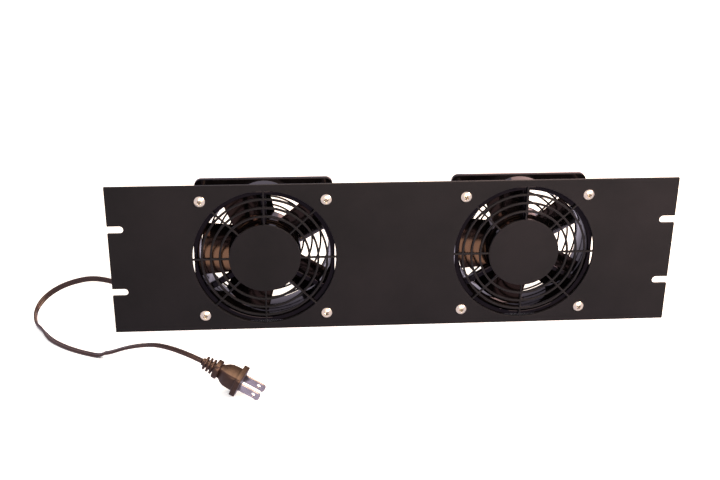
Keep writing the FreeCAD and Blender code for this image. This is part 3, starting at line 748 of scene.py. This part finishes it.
def makeGuard():
    rings = [wireRing("ring", guard["outer"] - guard["step"] * k, guard["y"] + guard["behind"])
             for k in range(guard["rings"])]
    loops = [wireRing("loop", guard["loop"], guard["y"], x, z, 32) for x, z in screwPlaces]
    inner = guard["outer"] - guard["step"] * (guard["rings"] - 1) - guard["past"]
    outer = screwReach * math.sqrt(2) - guard["loop"]
    clearSelection()
    bpy.ops.mesh.primitive_cylinder_add(vertices=10, radius=guard["wire"] * mm, depth=(outer - inner) * mm,
                                        location=((outer + inner) / 2 * mm, guard["y"] * mm, 0),
                                        rotation=(0, quarter, 0))
    arm = named("arm")
    editing(arm)
    selectWhere(arm, "faces", lambda f: f.normal.x < -0.9)
    bpy.ops.mesh.bevel(offset=guard["dressed"] * mm, segments=2, affect="EDGES")  # the free inner end is rounded off
    done()
    arms = around(arm, "arms", [45, 135, 225, 315])
    wires = joined("fingerGuard", rings + loops + [arms])
    smoothed(wires, 40)
    forBothFans(wires, "rear_guard", "chassis", "black_steel", paints["dippedEnamel"])


# Truss-head screws, spring washers and nuts

screw = {"head": 4.85, "rise": 2.6, "rim": 0.5, "seat": -2.5, "radius": 2.08, "root": 1.72, "pitch": 0.794,
         "end": 48.3, "cross": 1.45, "crossLong": 5.3, "crossDeep": 1.9,
         "turns": (12, -31, 47, 5)}  # how the crosses happened to stop, in degrees
springWasher = {"inner": 2.35, "outer": 3.95, "front": 39.82, "back": 40.5, "sweep": 342, "sprung": 0.28,
                "turns": (20, 160, 250, 95)}
nutShape = {"flats": 8.7, "front": 40.8, "back": 44.0, "face": 4.2, "corner": 5.1, "chamfer": 0.45, "thread": 2.13,
            "mouth": 2.5, "lead": 0.4, "turns": (8, 51, 33, 22)}


def makeScrew():
    seat, rim = screw["seat"], screw["seat"] - screw["rim"]
    rise = screw["rise"] - screw["rim"]
    dome = (screw["head"] ** 2 + rise ** 2) / (2 * rise)
    sweep = math.asin(screw["head"] / dome)
    top = seat - screw["rise"]
    profile = [(0, seat), (screw["head"] - 0.25, seat), (screw["head"], seat - 0.2), (screw["head"], rim + 0.1)]
    for k in range(9, 0, -1):
        profile.append((dome * math.sin(sweep * k / 9.1), top + dome * (1 - math.cos(sweep * k / 9.1))))
    profile.append((0, top))
    head = spun("head", profile, 48)
    wing = box("wing", (-screw["crossLong"] / 2, top - 1, -screw["cross"] / 2),
               (screw["crossLong"] / 2, top + screw["crossDeep"], screw["cross"] / 2))
    editing(wing)  # the recess narrows towards its bottom
    selectWhere(wing, "faces", lambda f: f.normal.y > 0.9)
    bpy.ops.transform.resize(value=(0.36, 1, 0.7))
    done()
    cross = copied(wing, "cross", turn(90))
    boolean(cross, wing, "UNION")
    boolean(head, cross, "DIFFERENCE")
    rounded(head, 0.08, 1, 40)
    turns = int((screw["end"] - seat) / screw["pitch"]) - 1
    start = screw["end"] - turns * screw["pitch"]
    thread = drawn("thread", [(screw["root"], start - screw["pitch"]), (screw["radius"], start - screw["pitch"] / 2),
                              (screw["root"], start)])
    modified(thread, "SCREW", axis="Y", screw_offset=screw["pitch"] * mm, iterations=turns, steps=14,
             render_steps=14, use_merge_vertices=True, merge_threshold=0.005 * mm, use_normal_calculate=True)
    core = spun("core", [(0, seat), (screw["root"] + 0.02, seat), (screw["root"] + 0.02, screw["end"] - 0.4),
                         (screw["root"] - 0.5, screw["end"]), (0, screw["end"])], 20)
    return smoothed(joined("mountingScrew", [head, thread, core]), 35)


def atCorners(piece, name, turns):
    copies = [copied(piece, name, shift(x, 0, z) @ turn(angle)) for (x, z), angle in zip(screwPlaces, turns)]
    bpy.data.objects.remove(piece)
    return joined(name, copies)


def makeFasteners():
    screws = atCorners(makeScrew(), "mountingScrews", screw["turns"])
    forBothFans(screws, "mounting_screws", "chassis", "zinc", paints["zincPlate"])
    # the spring washer is one turn of square wire, sprung open at its split
    inner, outer, front, back = (springWasher[key] for key in ("inner", "outer", "front", "back"))
    wire = drawn("lockWasher", [(inner, front), (outer, front), (outer, back), (inner, back), (inner, front)])
    washer = modified(wire, "SCREW", axis="Y", angle=math.radians(springWasher["sweep"]),
                      screw_offset=springWasher["sprung"] * mm, steps=40, render_steps=40, use_normal_calculate=True)
    tidied(washer)
    editing(washer, "EDGE")
    bpy.ops.mesh.select_all(action="DESELECT")
    bpy.ops.mesh.select_non_manifold()
    bpy.ops.mesh.edge_face_add()
    done()
    washers = atCorners(smoothed(tidied(washer), 35), "lockWashers", springWasher["turns"])
    forBothFans(washers, "lock_washers", "chassis", "zinc", paints["zincPlate"])
    front, back, cut, lead = (nutShape[key] for key in ("front", "back", "chamfer", "lead"))
    nut = rod("lockNut", nutShape["flats"] / math.sqrt(3), front, back, 6)
    turned = [(0, front), (nutShape["face"], front), (nutShape["corner"], front + cut),
              (nutShape["corner"], back - cut), (nutShape["face"], back), (0, back)]
    boolean(nut, spun("flats", turned, 64), "INTERSECT")
    bore = [(0, front - 0.8), (nutShape["mouth"], front - 0.8), (nutShape["mouth"], front),
            (nutShape["thread"], front + lead), (nutShape["thread"], back - lead), (nutShape["mouth"], back),
            (nutShape["mouth"], back + 1), (0, back + 1)]
    boolean(nut, spun("bore", bore, 32), "DIFFERENCE")
    nuts = atCorners(smoothed(tidied(nut), 30), "lockNuts", nutShape["turns"])
    forBothFans(nuts, "lock_nuts", "chassis", "zinc", paints["zincPlate"])


# Terminals between the flanges, and the connector on the left fan's

terminal = {"z": -36.0, "middle": 19.0, "face": 52.0, "width": 16.0, "depth": 13.0, "reach": 17.0, "rim": 1.4,
            "recess": 1.2, "spacing": 9.0, "tab": 2.8, "thick": 0.5, "long": 7.0, "tipCut": 0.6, "hole": 0.55,
            "holeOut": 4.2}
connector = {"width": 18.0, "depth": 11.0, "long": 16.0, "gap": 0.3, "shoulder": 7.0, "round": 1.6,
             "tapers": ((3, 0.86, 0.9), (4, 0.9, 0.84)),  # length, and the shares of depth and width left at its end
             "relief": 9.0, "from": 4.2, "to": 3.2, "ribs": 4}


def makeTerminals():
    z, face, middle = terminal["z"], terminal["face"], terminal["middle"]
    halfWidth, halfDepth = terminal["width"] / 2, terminal["depth"] / 2
    block = box("terminalBlock", (-face, middle - halfDepth, z - halfWidth),
                (-face + terminal["reach"], middle + halfDepth, z + halfWidth))
    editing(block)
    selectWhere(block, "faces", lambda f: f.normal.x < -0.9)
    bpy.ops.mesh.inset(thickness=terminal["rim"] * mm)
    extrude(x=terminal["recess"])
    done()
    rounded(block, 0.35, 2, 50)
    boolean(block, rod("barrel", housing["barrel"] + 0.02, 0, housing["depth"], 160), "DIFFERENCE")
    smoothed(tidied(block), 35)
    forBothFans(block, "terminal_block", "chassis", "black_plastic", paints["phenolic"])

    tabs = []
    for height in (z - terminal["spacing"] / 2, z + terminal["spacing"] / 2):
        half = terminal["tab"] / 2
        tab = box("tab", (-face - terminal["long"], middle - half, height - terminal["thick"] / 2),
                  (-face + 2, middle + half, height + terminal["thick"] / 2))
        editing(tab, "EDGE")  # the tip's corners are cut back so that a connector finds its way on
        selectWhere(tab, "edges", lambda e: all(v.co.x < (-face - terminal["long"] + 1) * mm for v in e.verts)
                    and abs(e.verts[0].co.z - e.verts[1].co.z) > 0.1 * mm)
        bpy.ops.mesh.bevel(offset=terminal["tipCut"] * mm, segments=1, affect="EDGES")
        done()
        clearSelection()
        bpy.ops.mesh.primitive_cylinder_add(vertices=24, radius=terminal["hole"] * mm, depth=3 * mm,
                                            location=((-face - terminal["holeOut"]) * mm, middle * mm, height * mm))
        boolean(tab, named("hole"), "DIFFERENCE")
        tabs.append(rounded(tab, 0.06, 1, 50))
    forBothFans(smoothed(joined("terminalTabs", tabs), 35), "terminal_tabs", "chassis", "bright_steel",
                paints["groundSteel"])


def makeConnector():
    z, middle = terminal["z"], terminal["middle"]
    near = -terminal["face"] - connector["gap"]
    far = near - connector["long"]
    body = box("fanConnector", (far, middle - connector["depth"] / 2, z - connector["width"] / 2),
               (near, middle + connector["depth"] / 2, z + connector["width"] / 2))
    editing(body)  # a waist for the fingers, then a step down to the relief
    selectWhere(body, "faces", lambda f: f.normal.x < -0.9)
    bpy.ops.transform.translate(value=(connector["shoulder"] * mm, 0, 0))
    for length, depth, width in connector["tapers"]:
        extrude(x=-length)
        bpy.ops.transform.resize(value=(1, depth, width))
    done()
    rounded(body, connector["round"], 3, 25)
    ribs, end = [], connector["relief"]
    for k in range(connector["ribs"]):
        share = k / connector["ribs"]
        x = end * share
        radius = connector["from"] + (connector["to"] - connector["from"]) * share
        ribs += [(radius, x), (radius, x + 1.2), (radius - 0.8, x + 1.4), (radius - 0.8, x + 2.1)]
    relief = spun("relief", [(0, -1), (3, -1)] + ribs + [(connector["to"] - 0.4, end - 0.4), (2.6, end), (0, end)], 40)
    relief.data.transform(shift(far, middle, z) @ Matrix.Rotation(quarter, 4, "Z"))
    boolean(body, tidied(relief), "UNION")
    body.data.transform(Matrix.Translation((sides["left"], 0, 0)))
    smoothed(tidied(body), 35)
    finished(body, "chassis", "cord_pvc", paints["plugVinyl"], "fan_connector")


# Mains plug: face flange, shouldered grip, collar and ribbed relief, moulded on the cord

# sizes behind the face: grip and ribs as (distance, width, height), and each round as (long corners, other edges)
plugBody = {"flange": (23.2, 16.6, 4.4), "flangeRound": (2.0, 0.5),
            "grip": ((4.2, 17.8, 12.4), (8.0, 17.8, 12.4), (12.0, 17.2, 12.0), (14.8, 15.0, 11.0), (17.0, 11.6, 9.6),
                     (19.6, 9.8, 8.6)), "gripRound": 2.1,
            "collar": (19.6, 23.6, 15.0, 12.0), "collarRound": (4.2, 0.9),
            "ribs": ((25.6, 11.8, 10.0), (28.6, 11.4, 9.6), (31.6, 11.0, 9.2)), "ribThick": 1.8,
            "ribRound": (3.6, 0.6), "core": (7.4, 6.2, 6.6, 4.6), "coreRound": 2.0}
blades = {"spacing": 12.7, "long": 18.0, "thick": 1.5, "width": 6.35, "hole": 1.55, "holeFromTip": 5.5,
          "tipRound": 2.3}


def runsLong(edge):  # along X, by more than 0.2 mm
    return abs(edge.verts[0].co.x - edge.verts[1].co.x) > 0.2 * mm


def mouldedBlock(name, x0, x1, width, height, corner, soft):  # along X, with round long corners
    piece = box(name, (x0, -width / 2, -height / 2), (x1, width / 2, height / 2))
    editing(piece, "EDGE")
    selectWhere(piece, "edges", runsLong)
    bpy.ops.mesh.bevel(offset=corner * mm, segments=5, affect="EDGES")
    done()
    return rounded(piece, soft, 3, 50)


def makePlug():
    width, height, thick = plugBody["flange"]
    flange = mouldedBlock("plugBody", -thick, 0, width, height, *plugBody["flangeRound"])
    stations = plugBody["grip"]
    x, w, h = stations[0]
    grip = box("grip", (-x, -w / 2, -h / 2), (-x + 1.5, w / 2, h / 2))
    editing(grip)
    selectWhere(grip, "faces", lambda f: f.normal.x < -0.9)
    for (x0, w0, h0), (x1, w1, h1) in zip(stations, stations[1:]):
        extrude(x=x0 - x1)
        bpy.ops.transform.resize(value=(1, w1 / w0, h1 / h0))
    selectWhere(grip, "edges", runsLong)
    bpy.ops.mesh.bevel(offset=plugBody["gripRound"] * mm, offset_type="OFFSET", segments=4, affect="EDGES")
    done()
    tidied(grip)
    x0, x1, w, h = plugBody["collar"]
    collar = mouldedBlock("collar", -x1, -x0 + 0.4, w, h, *plugBody["collarRound"])
    w0, h0, w1, h1 = plugBody["core"]
    core = box("core", (-plug["length"], -w1 / 2, -h1 / 2), (-x1 + 1, w1 / 2, h1 / 2))
    editing(core)
    selectWhere(core, "faces", lambda f: f.normal.x > 0.9)
    bpy.ops.transform.resize(value=(1, w0 / w1, h0 / h1))
    selectWhere(core, "edges", runsLong)
    bpy.ops.mesh.bevel(offset=plugBody["coreRound"] * mm, segments=5, affect="EDGES")
    done()
    parts = [grip, collar, core]
    half = plugBody["ribThick"] / 2
    for x, w, h in plugBody["ribs"]:
        parts.append(mouldedBlock("rib", -x - half, -x + half, w, h, *plugBody["ribRound"]))
    for part in parts:
        boolean(flange, part, "UNION")
    flange.data.transform(plugPlace)
    smoothed(tidied(flange), 35)
    finished(flange, "chassis", "cord_pvc", paints["plugVinyl"], "plug_body")

    made = []
    for y in (-blades["spacing"] / 2, blades["spacing"] / 2):
        blade = box("blade", (-2, y - blades["thick"] / 2, -blades["width"] / 2),
                    (blades["long"], y + blades["thick"] / 2, blades["width"] / 2))
        editing(blade, "EDGE")
        selectWhere(blade, "edges", lambda e: all(v.co.x > (blades["long"] - 1) * mm for v in e.verts)
                    and abs(e.verts[0].co.y - e.verts[1].co.y) > mm)
        bpy.ops.mesh.bevel(offset=blades["tipRound"] * mm, segments=8, affect="EDGES")
        done()
        boolean(blade, rod("hole", blades["hole"], y - 3, y + 3, 32, blades["long"] - blades["holeFromTip"], 0),
                "DIFFERENCE")
        made.append(rounded(blade, 0.18, 2, 50))
    pair = joined("plugBlades", made)
    pair.data.transform(plugPlace)
    smoothed(tidied(pair), 35)
    finished(pair, "chassis", "nickel", paints["nickelPlate"], "plug_blades")
    return flange, pair


makePanel()
print("panel made")
makeHousing()
print("housings made")
makeRotorCup()
makeImpeller()
print("rotors made")
makeGuard()
makeFasteners()
print("guards and fasteners made")
makeTerminals()
makeConnector()
plugMoulding, plugPins = makePlug()
cordPiece, cordPath, cordLength = makeCord()
print("cord, plug and connector made, cord length", round(cordLength, 4))

# inside the motors the solids themselves show, with looks on them
kept = {"rotor_core": "laminations", "shaft": "groundSteel", "retaining_ring": "springSteel",
        "front_bearing": "groundSteel", "rear_bearing": "groundSteel", "preload_washer": "springSteel",
        "bore_plug": "mouldedNylon", "stator_core": "laminations", "stator_windings": "windings",
        "motor_leads": "cordVinyl"}
for side in sides:
    for node, look in kept.items():
        piece = nodes[f"{side}_{node}"]
        piece.data.materials.clear()
        piece.data.materials.append(paints[look])

bpy.context.scene.view_settings.view_transform = "Standard"
clearSelection()
